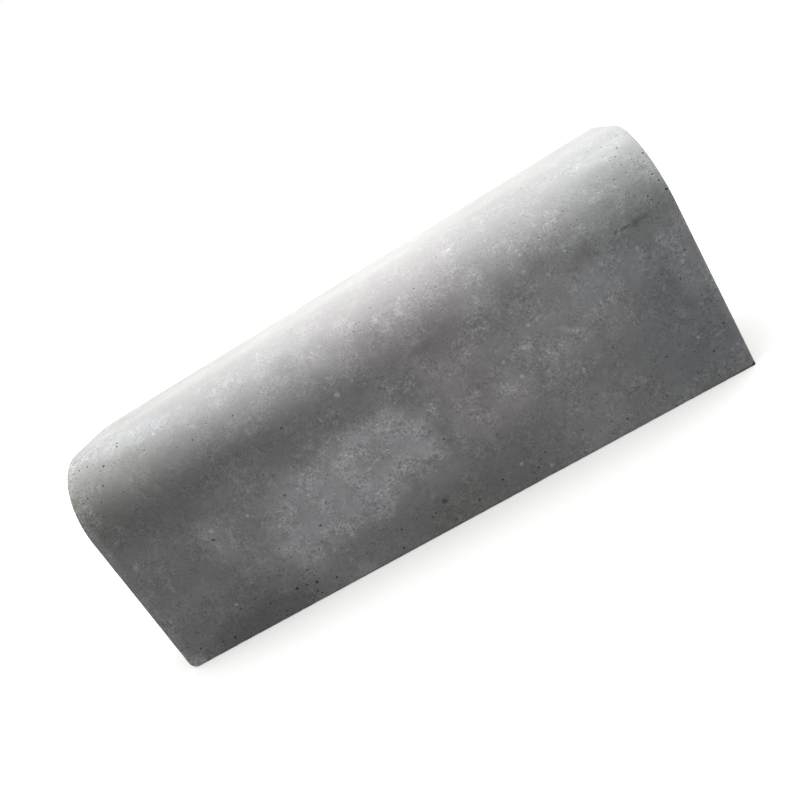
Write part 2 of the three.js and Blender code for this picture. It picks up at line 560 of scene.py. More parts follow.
def hole_cutters(places, dice):
    """A lump for each bug hole, sunk so that the rim is sharp."""
    parts = []
    for point, out, radius in places:
        depth = dice.uniform(*HOLE_DEPTH)
        turn = out.to_track_quat("Z", "Y").to_matrix().to_4x4()
        turn = turn @ Matrix.Rotation(dice.uniform(0, math.tau), 4, "Z")
        place = Matrix.Translation(point - out * HOLE_SINK * depth * radius) @ turn
        sizes = (dice.uniform(*HOLE_OVAL), dice.uniform(*HOLE_OVAL), depth)
        detail = 2 if radius > FINE_HOLE else 1
        parts.append(lump(place, radius, sizes, detail, HOLE_RIPPLE, dice))
    return joined(parts)


def chip_cutters(dice):
    """Small nicks in the edges, one after the other with uneven gaps, most of them along the base."""
    parts = []
    for (start, end), gap, largest, flat in CHIPPED_EDGES:
        line = Vector(end) - Vector(start)
        turn = line.to_track_quat("X", "Z").to_matrix().to_4x4()
        at = dice.expovariate(1 / gap)
        while True:
            size = largest * dice.uniform(*CHIP_SIZE)
            sizes = (
                dice.uniform(*CHIP_LENGTH) * flat, dice.uniform(*CHIP_WIDTH) * flat,
                dice.uniform(*CHIP_DEPTH))
            reach = size * sizes[0] * (1 + CHIP_RIPPLE)
            if at + 2 * reach > line.length:
                break
            place = Matrix.Translation(Vector(start) + line.normalized() * (at + reach)) @ turn
            parts.append(lump(place, size, sizes, 3, CHIP_RIPPLE, dice))
            at += 2 * reach + dice.expovariate(1 / gap)
    return joined(parts)


def corner_cutter(settings):
    """What the rubbed corner has lost: the area outside a round corner in the front view, drawn out
    along Y and narrowed until it runs into the rounded rim."""
    radius, margin = settings.worn_corner, CUT_MARGIN
    front = FRONT - margin
    bm = bmesh.new()
    pen = bm.verts.new((LEFT, front, BASE + radius))
    start = pen.co.copy()
    pen = end_of(bmesh.ops.spin(
        bm, geom=[pen], cent=(LEFT + radius, front, BASE + radius), axis=(0, 1, 0), angle=-QUARTER_TURN,
        steps=WORN_CORNER_STEPS))
    pen = draw_line(bm, pen, (LEFT + radius, front, BASE - margin))
    pen = draw_line(bm, pen, (LEFT - margin, front, BASE - margin))
    pen = draw_line(bm, pen, (LEFT - margin, front, BASE + radius))
    draw_line(bm, pen, start)
    bmesh.ops.remove_doubles(bm, verts=bm.verts, dist=MERGE)
    face = bmesh.ops.contextual_create(bm, geom=bm.edges)["faces"]
    drawn = bmesh.ops.extrude_face_region(bm, geom=[*face, *bm.edges, *bm.verts])["geom"]
    tip = [g for g in drawn if isinstance(g, bmesh.types.BMVert)]
    corner = Matrix.Translation((-LEFT, 0, -BASE))
    narrow = settings.end_arris / (2 * radius)
    bmesh.ops.scale(bm, vec=(narrow, 1, narrow), space=corner, verts=tip)
    bmesh.ops.translate(bm, vec=(0, WORN_CORNER_RUN + margin, 0), verts=tip)
    bmesh.ops.recalc_face_normals(bm, faces=bm.faces)
    return bm


def cut(target, cutter):
    """Takes the cutter out of the target and removes it."""
    step = target.modifiers.new("cut", "BOOLEAN")
    step.operation = "DIFFERENCE"
    step.solver = "MANIFOLD"
    step.object = cutter
    bpy.context.view_layer.update()
    graph = bpy.context.evaluated_depsgraph_get()
    mesh = bpy.data.meshes.new_from_object(target.evaluated_get(graph))
    target.modifiers.clear()
    old = target.data
    target.data = mesh
    bpy.data.meshes.remove(old)
    bpy.data.objects.remove(cutter)


def tidy_mesh(mesh):
    """Takes out the slivers that the cuts left."""
    bm = bmesh.new()
    bm.from_mesh(mesh)
    bmesh.ops.remove_doubles(bm, verts=bm.verts, dist=SLIVER)
    bmesh.ops.dissolve_degenerate(bm, edges=bm.edges, dist=SLIVER)
    bm.to_mesh(mesh)
    bm.free()


class KERB_OT_add_stone(bpy.types.Operator):
    """Adds the kerb stone with its bug holes and worn edges."""

    bl_idname = "kerb.add_stone"
    bl_label = "Add kerb stone"

    def execute(self, context):
        settings = context.scene.kerb_stone
        dice = random.Random(settings.seed)
        body = stone_body(settings)
        wobble_arrises(body, settings)
        stone = new_object("kerb_stone_cast", body)
        cut(stone, new_object("corner", corner_cutter(settings)))
        cut(stone, new_object("chips", chip_cutters(dice)))
        cut(stone, new_object("holes", hole_cutters(scatter_holes(settings, dice), dice)))
        tidy_mesh(stone.data)
        stone.data.shade_smooth()
        stone.data.set_sharp_from_angle(angle=SHARP_ANGLE)
        stone.data.materials.clear()
        stone.data.materials.append(cast_concrete(settings))
        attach(stone, "root")
        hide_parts(NODE)
        return {"FINISHED"}


# ----------------------------------------
# Materials
# ----------------------------------------

# Noise patterns of the concrete: the width of one feature, detail, roughness and distortion
NOISES = {
    "cloud": (150 * MM, 3, 0.5, 0),  # uneven curing
    "mottle": (38 * MM, 7, 0.65, 0),  # blotches of paste
    "flake": (14 * MM, 4, 0.6, 0.6),  # paler flakes in the skin
    "fleck": (7 * MM, 2, 0.6, 0.4),
    "grain": (2.2 * MM, 2, 0.6, 0),  # sand, drawn coarser than its 0.5 to 1 mm so that it shows
    "swirl": (30 * MM, 1, 0.4, 1.5),  # its middle value draws thin pale curls
    "patch": (26 * MM, 3, 0.5, 0),  # patches of open skin between closed ones
}
LOW, HIGH = 0.3, 0.7  # nearly all of a noise pattern lies between these
CURL_WIDTH = 0.012  # how near its middle value the swirl draws a curl
GRAIN_DEPTH = 0.12 * MM

# Scattered dots: one to a cell at most, in a share of the cells
PINHOLE_PITCH = 7 * MM
PINHOLE_RADIUS = 2.2 * MM  # of the largest, with its rim of painted highlight
PINHOLE_DEPTH = 0.5 * MM
PINHOLE_BOWL = (0.45, 0.9)  # over these values of its dot a pinhole sinks in
PINHOLE_SHARE = 0.2
MORE_PINHOLES = 0.65  # added to the share where air gathers
SPECK_PITCH = 7 * MM
SPECK_RADIUS = 1.6 * MM
SPECK_SHARE = 0.5
SMALLEST_DOT = 0.4  # times the largest
DOT_CORE = 0.4  # a dot is full up to this share of its radius, and then fades

# Where air gathers: from this share of the way out from the middle, and up to this height
AIRY_FROM = 0.6
AIRY_HEIGHT = 80 * MM

# What the patterns do to the tone. While a pattern runs from its low to its high value, the tone
# changes from the first to the second share. The last entry is where it shows
TONES = (
    ("cloud", LOW, HIGH, -0.05, 0.05, "everywhere"),
    ("mottle", LOW, HIGH, -0.1, 0.1, "open skin"),
    ("patch", 0.44, 0.56, -0.022, 0.022, "nose"),
    ("flake", 0.54, 0.64, 0, 0.11, "sandy skin"),
    ("fleck", LOW, HIGH, -0.08, 0.08, "sandy skin"),
    ("grain", LOW, HIGH, -0.2, 0.2, "sandy skin"),
    ("curl", 0, 1, 0, 0.12, "sandy skin"),
    ("specks", 0, 1, 0, 0.38, "sandy skin"),
    ("pinholes", 0, 0.25, 0, 0.32, "everywhere"),  # painted highlight round the rim
    ("pinholes", 0.5, 0.9, 0, -0.5, "everywhere"),  # painted shade in the bowl
)

# How strongly the sand shows through the skin
SAND_IN_DAMP, SAND_IN_BLOOM = 0.67, 1.18
SAND_IN_AIR = 0.88  # at least this much where air gathers
SAND_IN_CLOSED, SAND_IN_OPEN = 0.45, 1.5  # closed and open patches
PATCH_EDGE = (0.42, 0.58)  # over these values of its pattern a patch opens

# How open the skin is, over the nose and at both ends, and how far below the top it changes
OPEN_FACE, OPEN_CROWN = 1.05, 0.58
NOSE_CLOSES = (0.9, 0.05)  # from and to, times the radius of the nose
NOSE_STARTS = (1.1, 0.8)
OPEN_TOP = 0.62  # times the crown of the nose
TOP_CLOSES = (6 * MM, 0.5 * MM)
OPEN_LEFT_END, OPEN_RIGHT_END = 1.5, 0.7

STRUCK_DEPTH = 0.3 * MM  # how far up from the base the struck finish reaches
STRUCK_TONE = 0.18  # how much paler its ridges are
DRAG_LENGTH = 90 * MM  # marks of the board that struck off the base
DRAG_WIDTH = 7 * MM
DRAG_DEPTH = 1.2 * MM

STAIN_DEPTH = 70 * MM  # how far a stain reaches into the stone, so that it wraps over the nose
STAIN_RAG = (0.6, 1.4)  # least and most reach of a ragged rim, as a share of the stain's half size
RAG_SPAN = (0.25, 0.75)  # values of the mottle between which the rim runs from the least to the most
SPOT_SOFTNESS = 0.5

ROUGHNESS = (0.8, 0.92)  # smoothest and roughest paste
SPECULAR = 0.3  # a dry porous skin reflects less than a closed one

# Colours of the stains
LIME = "e0e0e0"  # bare lime
BLOOM = "cbcbce"  # pale lime bloom
PASTE = "b9b8b8"  # rich paste
ROSE = "b6b2b2"
MAUVE = "8f8c8d"
DAMP_AND_SHADE = "868686"  # held damp, and painted shade along the base
# soot, and painted shade along the base
SOOT_AND_SHADE = "6a6a6a"
# painted contact shadow: the dark line where the stone meets the floor
CONTACT_SHADOW = "2e2e2c"
OLIVE = "80807b"
SKY = "b0b4b9"
FROST = "b3b7b6"
SLATE = "8c9095"
WARM = "a8a4a5"  # this and the next three tints are as light as the plain cement
MOSS = "a1a5a4"
KHAKI = "a4a49e"
CREAM = "a6a6a2"

# Stains: along the kerb, up the face and over the nose, half width, half height, turn in degrees,
# colour, how strongly it covers, and how soft its rim is. Cycles has room for about 70 stains in one
# material, and with more the stone turns black
STAINS = (
    (60 * MM, 245 * MM, 110 * MM, 95 * MM, 0, WARM, 0.75, 0.5),  # tints of the nose and the top
    (345 * MM, 248 * MM, 50 * MM, 65 * MM, 0, MOSS, 0.9, 0.5),
    (-330 * MM, 238 * MM, 80 * MM, 58 * MM, 0, KHAKI, 1, 0.5),
    (0, 385 * MM, 420 * MM, 80 * MM, 0, CREAM, 0.65, 0.3),
    (-262 * MM, 198 * MM, 160 * MM, 34 * MM, 0, DAMP_AND_SHADE, 0.75, 0.5),  # damp under the nose
    (-320 * MM, 70 * MM, 90 * MM, 140 * MM, 0, DAMP_AND_SHADE, 0.35, 0.5),  # left end
    (-316 * MM, 247 * MM, 80 * MM, 43 * MM, 0, DAMP_AND_SHADE, 0.5, 0.5),
    (-208 * MM, 243 * MM, 50 * MM, 22 * MM, 0, DAMP_AND_SHADE, 0.36, 0.5),
    (-258 * MM, 10 * MM, 88 * MM, 28 * MM, 0, SOOT_AND_SHADE, 0.6, 0.4),  # darker along the base: stains, and partly painted shade near the floor
    (-283 * MM, 47 * MM, 75 * MM, 23 * MM, 0, DAMP_AND_SHADE, 0.5, 0.5),
    (-42 * MM, 18 * MM, 84 * MM, 34 * MM, 5, DAMP_AND_SHADE, 0.4, 0.5),
    (45 * MM, 15 * MM, 75 * MM, 32 * MM, 0, OLIVE, 0.6, 0.5),
    (-75 * MM, 110 * MM, 126 * MM, 46 * MM, 7, BLOOM, 0.72, 0.3),  # large pale cloud
    (-160 * MM, 72 * MM, 30 * MM, 34 * MM, 0, BLOOM, 0.45, 0.4),
    (-140 * MM, 138 * MM, 36 * MM, 20 * MM, 0, BLOOM, 0.45, 0.5),
    (-62 * MM, 158 * MM, 28 * MM, 16 * MM, 0, BLOOM, 0.55, 0.5),
    (-45 * MM, 88 * MM, 60 * MM, 20 * MM, 5, BLOOM, 0.6, 0.5),
    (-90 * MM, 145 * MM, 60 * MM, 16 * MM, 0, BLOOM, 0.35, 0.5),
    (10 * MM, 128 * MM, 42 * MM, 26 * MM, 0, BLOOM, 0.28, 0.4),
    (-245 * MM, 122 * MM, 26 * MM, 32 * MM, 0, PASTE, 0.5, 0.5),  # pale patch left of it
    (112 * MM, 152 * MM, 68 * MM, 60 * MM, 0, ROSE, 0.75, 0.4),  # mottled patches right of the middle
    (100 * MM, 98 * MM, 55 * MM, 24 * MM, 0, ROSE, 0.6, 0.5),
    (105 * MM, 35 * MM, 60 * MM, 48 * MM, 0, MAUVE, 0.55, 0.5),
    (205 * MM, 165 * MM, 80 * MM, 48 * MM, -5, PASTE, 0.68, 0.45),
    (205 * MM, 118 * MM, 45 * MM, 24 * MM, 0, PASTE, 0.45, 0.5),
    (180 * MM, 222 * MM, 42 * MM, 28 * MM, 0, PASTE, 0.52, 0.5),  # pale foot of the nose
    (308 * MM, 216 * MM, 50 * MM, 14 * MM, 0, FROST, 0.45, 0.5),
    (-195 * MM, 182 * MM, 45 * MM, 18 * MM, 0, PASTE, 0.3, 0.5),
    (24 * MM, 188 * MM, 30 * MM, 17 * MM, 0, PASTE, 0.4, 0.5),
    (262 * MM, 55 * MM, 35 * MM, 40 * MM, 0, DAMP_AND_SHADE, 0.35, 0.5),  # damp low on the right
    (336 * MM, 75 * MM, 50 * MM, 85 * MM, 0, SLATE, 0.65, 0.45),  # cool right end
    (345 * MM, 292 * MM, 32 * MM, 12 * MM, 0, PASTE, 0.35, 0.5),
    (282 * MM, 170 * MM, 36 * MM, 22 * MM, 0, SKY, 0.7, 0.5),
    (355 * MM, 145 * MM, 16 * MM, 38 * MM, 0, SKY, 0.6, 0.5),
    # painted highlight along the right end's edge, in a cool tint
    (371 * MM, 155 * MM, 7 * MM, 105 * MM, 0, FROST, 0.6, 0.5),
    (375 * MM, 140 * MM, 2.6 * MM, 120 * MM, 0, BLOOM, 0.5, 0.5),  # its rubbed rim
    (336 * MM, 263 * MM, 34 * MM, 14 * MM, 0, DAMP_AND_SHADE, 0.25, 0.5),  # damp on its nose
    (-370 * MM, 60 * MM, 8 * MM, 70 * MM, 0, PASTE, 0.25, 0.5),  # painted highlight along the rim of the right end
    (-371 * MM, 178 * MM, 7 * MM, 50 * MM, 0, PASTE, 0.5, 0.5),
    # painted highlight on the worn lower corner of the left end
    (-365 * MM, 6 * MM, 12 * MM, 9 * MM, 0, PASTE, 0.55, 0.5),
    (-220 * MM, 192 * MM, 26 * MM, 14 * MM, 0, DAMP_AND_SHADE, 0.5, 0.5),  # more damp under the nose
    (-285 * MM, 298 * MM, 50 * MM, 18 * MM, 0, SKY, 0.35, 0.5),  # crown of the nose and the top
    (0, 320 * MM, 380 * MM, 24 * MM, 0, DAMP_AND_SHADE, 0.17, 0.5),
    (290 * MM, 370 * MM, 170 * MM, 80 * MM, 0, DAMP_AND_SHADE, 0.24, 0.5),
    (318 * MM, 204.5 * MM, 6 * MM, 1.8 * MM, 0, SOOT_AND_SHADE, 0.6, 0.6),  # broken mark of the mould's seam
    (330 * MM, 203.5 * MM, 6 * MM, 5 * MM, 0, SOOT_AND_SHADE, 0.5, 0.6),
    (341 * MM, 205 * MM, 8 * MM, 3.4 * MM, 0, SOOT_AND_SHADE, 0.5, 0.6),
    (333 * MM, 211 * MM, 6 * MM, 1.2 * MM, 0, PASTE, 0.5, 0.6),
    (352 * MM, 7 * MM, 36 * MM, 9 * MM, 0, KHAKI, 0.4, 0.5),  # foot of the right end
    # painted contact shadow: a thin dark line along the foot of the right end
    (348 * MM, 0, 40 * MM, 1.6 * MM, 0, CONTACT_SHADOW, 0.8, 0.5),
    (222 * MM, 138 * MM, 16 * MM, 3.5 * MM, -35, BLOOM, 0.8, 0.6),  # slanting streak
    (-120 * MM, 735 * MM, 260 * MM, 55 * MM, 0, DAMP_AND_SHADE, 0.5, 0.5),  # back
    (240 * MM, 690 * MM, 90 * MM, 60 * MM, 0, PASTE, 0.5, 0.5),
    (-190 * MM, 560 * MM, 130 * MM, 60 * MM, 8, BLOOM, 0.4, 0.4),
    (150 * MM, 530 * MM, 90 * MM, 35 * MM, -6, SLATE, 0.4, 0.5),
    (330 * MM, 520 * MM, 40 * MM, 60 * MM, 0, DAMP_AND_SHADE, 0.4, 0.5),
)

# Round spots and specks: along the kerb, up the face and over the nose, radius, colour, and how strongly
# it covers
SPOTS = (
    (-68 * MM, 72 * MM, 20 * MM, BLOOM, 0.6),  # in the large pale cloud
    (-20 * MM, 102 * MM, 17 * MM, LIME, 0.4),
    (-71 * MM, 128 * MM, 18 * MM, LIME, 0.4),
    (130 * MM, 124 * MM, 14 * MM, BLOOM, 0.3),  # other pale spots
    (-20 * MM, 240 * MM, 18 * MM, PASTE, 0.35),
    (-120 * MM, 5 * MM, 13 * MM, PASTE, 0.5),
    (-342 * MM, 236 * MM, 26 * MM, OLIVE, 0.4),  # damp spots
    (30 * MM, 243 * MM, 15 * MM, DAMP_AND_SHADE, 0.35),
    (-70 * MM, 266 * MM, 15 * MM, DAMP_AND_SHADE, 0.3),
    (80 * MM, 197 * MM, 14 * MM, DAMP_AND_SHADE, 0.3),
    (32 * MM, 152 * MM, 13 * MM, DAMP_AND_SHADE, 0.3),
    (5 * MM, 35 * MM, 3.5 * MM, SOOT_AND_SHADE, 0.85),  # dark spot above the base
    (308 * MM, 205 * MM, 2.4 * MM, SOOT_AND_SHADE, 0.6),  # where the seam's mark starts
    (374 * MM, 0.5 * MM, 3 * MM, CONTACT_SHADOW, 0.85),  # painted contact shadow at the lower tip of the right end
    (-277 * MM, 48 * MM, 2.3 * MM, BLOOM, 0.85),  # specks of lime
    (-199.5 * MM, 137 * MM, 1.9 * MM, LIME, 0.8),
    (-195.5 * MM, 133.5 * MM, 2.3 * MM, BLOOM, 0.5),
    (179 * MM, 154 * MM, 1.9 * MM, LIME, 0.6),
    (-10 * MM, 212 * MM, 1.9 * MM, BLOOM, 0.6),
    (-246 * MM, 142 * MM, 2.6 * MM, BLOOM, 0.85),
    (-34 * MM, 119 * MM, 2.6 * MM, LIME, 0.9),
    (184 * MM, 167 * MM, 2.2 * MM, LIME, 0.75),
    (142 * MM, 144 * MM, 2.2 * MM, LIME, 0.8),
    (152 * MM, 120 * MM, 2.2 * MM, LIME, 0.8),
    (334 * MM, 60 * MM, 2 * MM, BLOOM, 0.55),
    (102 * MM, 30 * MM, 2.1 * MM, BLOOM, 0.65),
    (130 * MM, 11 * MM, 1.9 * MM, BLOOM, 0.65),
    (-32 * MM, 207 * MM, 2.5 * MM, BLOOM, 0.9),
    (-248 * MM, 280 * MM, 1.8 * MM, BLOOM, 0.5),
    (367 * MM, 32 * MM, 1.9 * MM, BLOOM, 0.65),
    (355 * MM, 142 * MM, 2.4 * MM, BLOOM, 0.8),
    (320 * MM, 179 * MM, 1.9 * MM, BLOOM, 0.8),
    (213 * MM, 236 * MM, 1.9 * MM, BLOOM, 0.6),
)


def new_material(name):
    """A material whose node tree is empty."""
    material = bpy.data.materials.new(name)
    material.use_nodes = True
    material.node_tree.nodes.clear()
    return material


def blot(tree, under, near, colour, strength, softness):
    """Mixes a colour over another one wherever near is above 0, with a soft rim."""
    mask = add_node(tree, "ShaderNodeMapRange", {
        "Value": near, "From Min": -softness, "From Max": softness, "To Min": 0, "To Max": strength},
        interpolation_type="SMOOTHSTEP")
    mixed = add_node(tree, "ShaderNodeMix", {
        "Factor": mask, 6: under, 7: linear(colour)}, data_type="RGBA")
    return mixed.outputs[2]


def stain(tree, under, coords, ragged, nose, stain_at):
    """Mixes one stain over a colour: a soft ellipse with a ragged rim, set at its place on the stone."""
    x, girth, across, up, turn, colour, strength, softness = stain_at
    place, out = face_point(x, girth, nose)
    tilt = math.atan2(out.z, -out.y)
    shape = add_node(tree, "ShaderNodeMapping", {
        "Vector": coords, "Location": place, "Rotation": (-tilt, math.radians(-turn), 0),
        "Scale": (across, STAIN_DEPTH, up)}, vector_type="TEXTURE")
    far = add_node(tree, "ShaderNodeVectorMath", {0: shape}, operation="LENGTH")
    near = add_node(tree, "ShaderNodeMath", {0: ragged, 1: far.outputs["Value"]}, operation="SUBTRACT")
    return blot(tree, under, near, colour, strength, softness)


def spot(tree, under, coords, ragged, nose, spot_at):
    """Mixes one round spot with a ragged rim over a colour."""
    x, girth, radius, colour, strength = spot_at
    place, _ = face_point(x, girth, nose)
    far = add_node(tree, "ShaderNodeVectorMath", {0: coords, 1: place}, operation="DISTANCE")
    near = add_node(tree, "ShaderNodeMath", {
        0: far.outputs["Value"], 1: -1 / radius, 2: ragged}, operation="MULTIPLY_ADD")
    return blot(tree, under, near, colour, strength, SPOT_SOFTNESS)


def shade(tree, under, pattern, low, high, first, second, amount=1.0):
    """Darkens and lightens a colour by a pattern. While the pattern runs from low to high, the tone
    changes from the first to the second share, times the amount."""
    tone = add_node(tree, "ShaderNodeMapRange", {
        "Value": pattern, "From Min": low, "From Max": high, "To Min": first, "To Max": second})
    grey = add_node(tree, "ShaderNodeMath", {0: tone, 1: amount, 2: 1}, operation="MULTIPLY_ADD")
    return add_node(tree, "ShaderNodeVectorMath", {0: under, "Scale": grey}, operation="SCALE")


def dots(tree, coords, pitch, radius, share):
    """Round dots scattered one to a cell: 1 in the middle of a dot and 0 outside. Only a share of the
    cells has one."""
    cells = add_node(tree, "ShaderNodeTexVoronoi", {"Vector": coords, "Scale": 1 / pitch})
    pick = add_node(tree, "ShaderNodeSeparateColor", {0: cells.outputs["Color"]})
    chosen = add_node(tree, "ShaderNodeMath", {0: pick.outputs[0], 1: share}, operation="LESS_THAN")
    size = add_node(tree, "ShaderNodeMapRange", {
        "Value": pick.outputs[1], "To Min": SMALLEST_DOT * radius / pitch, "To Max": radius / pitch})
    depth = add_node(tree, "ShaderNodeMath", {0: cells.outputs["Distance"], 1: size}, operation="DIVIDE")
    round_off = add_node(tree, "ShaderNodeMapRange", {
        "Value": depth, "From Min": 1, "From Max": DOT_CORE}, interpolation_type="SMOOTHSTEP")
    return add_node(tree, "ShaderNodeMath", {0: round_off, 1: chosen}, operation="MULTIPLY")


def noise_patterns(tree, coords):
    """The noise patterns by name, and the curls that the swirl draws."""
    pattern = {}
    for name, (width, detail, roughness, distortion) in NOISES.items():
        pattern[name] = add_node(tree, "ShaderNodeTexNoise", {
            "Vector": coords, "Scale": 1 / width, "Detail": detail, "Roughness": roughness,
            "Distortion": distortion})
    pattern["curl"] = add_node(tree, "ShaderNodeMath", {
        0: pattern["swirl"], 1: 0.5, 2: CURL_WIDTH}, operation="COMPARE")
    return pattern


def trapped_air(tree, place):
    """How near a point is to either end, and how much air its skin holds. Air gathers at both ends and
    along the base."""
    off_middle = add_node(tree, "ShaderNodeMath", {0: place.outputs["X"]}, operation="ABSOLUTE")
    ends = add_node(tree, "ShaderNodeMapRange", {
        "Value": off_middle, "From Min": AIRY_FROM * LENGTH / 2, "From Max": LENGTH / 2})
    foot = add_node(tree, "ShaderNodeMapRange", {
        "Value": place.outputs["Z"], "From Min": AIRY_HEIGHT, "From Max": 0})
    airy = add_node(tree, "ShaderNodeMath", {0: ends, 1: foot}, operation="MAXIMUM")
    return ends, airy


def stained_cement(tree, coords, mottle, stone):
    """The colour of the cement under its stains and spots."""
    ragged = add_node(tree, "ShaderNodeMapRange", {
        "Value": mottle, "From Min": RAG_SPAN[0], "From Max": RAG_SPAN[1],
        "To Min": STAIN_RAG[0], "To Max": STAIN_RAG[1]})
    colour = add_node(tree, "ShaderNodeRGB").outputs[0]
    colour.default_value = linear(stone.cement)
    for each in STAINS:
        colour = stain(tree, colour, coords, ragged, stone.nose_radius, each)
    for each in SPOTS:
        colour = spot(tree, colour, coords, ragged, stone.nose_radius, each)
    return colour


def bare_skin(tree, colour, airy):
    """How bare the sand lies: the more, the paler the skin, and well bare wherever air gathers."""
    pale = add_node(tree, "ShaderNodeRGBToBW", {0: colour})
    dry = add_node(tree, "ShaderNodeMapRange", {
        "Value": pale, "From Min": linear(DAMP_AND_SHADE)[0], "From Max": linear(BLOOM)[0],
        "To Min": SAND_IN_DAMP, "To Max": SAND_IN_BLOOM})
    porous = add_node(tree, "ShaderNodeMath", {0: airy, 1: SAND_IN_AIR}, operation="MULTIPLY")
    return add_node(tree, "ShaderNodeMath", {0: dry, 1: porous}, operation="MAXIMUM")


def open_skin(tree, place, ends, nose):
    """How open the skin is: it closes over the nose and on the top, and is open at both ends. Also
    how open it is on the nose alone."""
    across, up = place.outputs["X"], place.outputs["Z"]
    rising = add_node(tree, "ShaderNodeMapRange", {
        "Value": up, "From Min": TOP - NOSE_CLOSES[0] * nose, "From Max": TOP - NOSE_CLOSES[1] * nose,
        "To Min": OPEN_FACE, "To Max": OPEN_CROWN})
    level = add_node(tree, "ShaderNodeMapRange", {
        "Value": up, "From Min": TOP - TOP_CLOSES[0], "From Max": TOP - TOP_CLOSES[1],
        "To Min": 1, "To Max": OPEN_TOP})
    over_nose = add_node(tree, "ShaderNodeMath", {0: rising, 1: level}, operation="MULTIPLY")
    on_nose = add_node(tree, "ShaderNodeMapRange", {
        "Value": up, "From Min": TOP - NOSE_STARTS[0] * nose, "From Max": TOP - NOSE_STARTS[1] * nose})
    nose_only = add_node(tree, "ShaderNodeMath", {0: on_nose, 1: over_nose}, operation="MULTIPLY")
    rougher = add_node(tree, "ShaderNodeMapRange", {
        "Value": across, "From Min": LEFT, "From Max": RIGHT,
        "To Min": OPEN_LEFT_END, "To Max": OPEN_RIGHT_END})
    rough_ends = add_node(tree, "ShaderNodeMath", {0: ends, 1: rougher}, operation="MULTIPLY")
    whole = add_node(tree, "ShaderNodeMath", {0: over_nose, 1: rough_ends}, operation="MAXIMUM")
    return whole, nose_only


def pattern_strengths(tree, bare, opened, on_nose, patch):
    """How strongly a pattern shows at each of the places that TONES names."""
    patchy = add_node(tree, "ShaderNodeMapRange", {
        "Value": patch, "From Min": PATCH_EDGE[0], "From Max": PATCH_EDGE[1],
        "To Min": SAND_IN_CLOSED, "To Max": SAND_IN_OPEN})
    sandy = add_node(tree, "ShaderNodeMath", {0: bare, 1: opened}, operation="MULTIPLY")
    sandy = add_node(tree, "ShaderNodeMath", {0: sandy, 1: patchy}, operation="MULTIPLY")
    return {"everywhere": 1.0, "open skin": opened, "nose": on_nose, "sandy skin": sandy}


def struck_base(tree, coords, place):
    """Height of the marks on the base, which was struck off along the kerb. Elsewhere it is 0."""
    struck = add_node(tree, "ShaderNodeMapRange", {
        "Value": place.outputs["Z"], "From Min": STRUCK_DEPTH, "From Max": 0.5 * STRUCK_DEPTH})
    along = add_node(tree, "ShaderNodeMapping", {
        "Vector": coords, "Scale": (1 / DRAG_LENGTH, 1 / DRAG_WIDTH, 1 / DRAG_WIDTH)})
    drag = add_node(tree, "ShaderNodeTexNoise", {
        "Vector": along, "Scale": 1, "Detail": 4, "Roughness": 0.6})
    return add_node(tree, "ShaderNodeMath", {0: drag, 1: struck}, operation="MULTIPLY")


def relief(tree, torn, grain, pinholes):
    """The relief of the skin, one layer on the other: torn base, sand, and bowls of the pinholes."""
    hand = add_node(tree, "ShaderNodeBump", {"Height": torn, "Strength": 1, "Distance": DRAG_DEPTH})
    sand = add_node(tree, "ShaderNodeBump", {
        "Height": grain, "Strength": 1, "Distance": GRAIN_DEPTH, "Normal": hand})
    bowl = add_node(tree, "ShaderNodeMapRange", {
        "Value": pinholes, "From Min": PINHOLE_BOWL[0], "From Max": PINHOLE_BOWL[1]})
    return add_node(tree, "ShaderNodeBump", {
        "Height": bowl, "Strength": 1, "Distance": PINHOLE_DEPTH, "Normal": sand}, invert=True)


def cast_concrete(stone):
    """Precast concrete, vibrated in a smooth mould: a skin of cement paste, matt and pale grey, with
    blotches of bloom and damp, a sandy grain just under the skin and pinholes."""
    material = new_material("cast_concrete")
    tree = material.node_tree
    coords = add_node(tree, "ShaderNodeTexCoord").outputs["Object"]
    pattern = noise_patterns(tree, coords)
    place = add_node(tree, "ShaderNodeSeparateXYZ", {0: coords})
    ends, airy = trapped_air(tree, place)
    share = add_node(tree, "ShaderNodeMath", {
        0: airy, 1: MORE_PINHOLES, 2: PINHOLE_SHARE}, operation="MULTIPLY_ADD")
    pattern["pinholes"] = dots(tree, coords, PINHOLE_PITCH, PINHOLE_RADIUS, share)
    pattern["specks"] = dots(tree, coords, SPECK_PITCH, SPECK_RADIUS, SPECK_SHARE)

    colour = stained_cement(tree, coords, pattern["mottle"], stone)
    bare = bare_skin(tree, colour, airy)
    opened, on_nose = open_skin(tree, place, ends, stone.nose_radius)
    strengths = pattern_strengths(tree, bare, opened, on_nose, pattern["patch"])
    for name, low, high, first, second, where in TONES:
        colour = shade(tree, colour, pattern[name], low, high, first, second, strengths[where])
    torn = struck_base(tree, coords, place)
    colour = shade(tree, colour, torn, LOW, HIGH, 0, STRUCK_TONE)

    normal = relief(tree, torn, pattern["grain"], pattern["pinholes"])
    rough = add_node(tree, "ShaderNodeMapRange", {
        "Value": pattern["mottle"], "From Min": LOW, "From Max": HIGH,
        "To Min": ROUGHNESS[0], "To Max": ROUGHNESS[1]})
    skin = add_node(tree, "ShaderNodeBsdfPrincipled", {
        "Base Color": colour, "Roughness": rough, "Specular IOR Level": SPECULAR, "Normal": normal})
    add_node(tree, "ShaderNodeOutputMaterial", {"Surface": skin})
    return material


# ----------------------------------------
# Studio
# ----------------------------------------

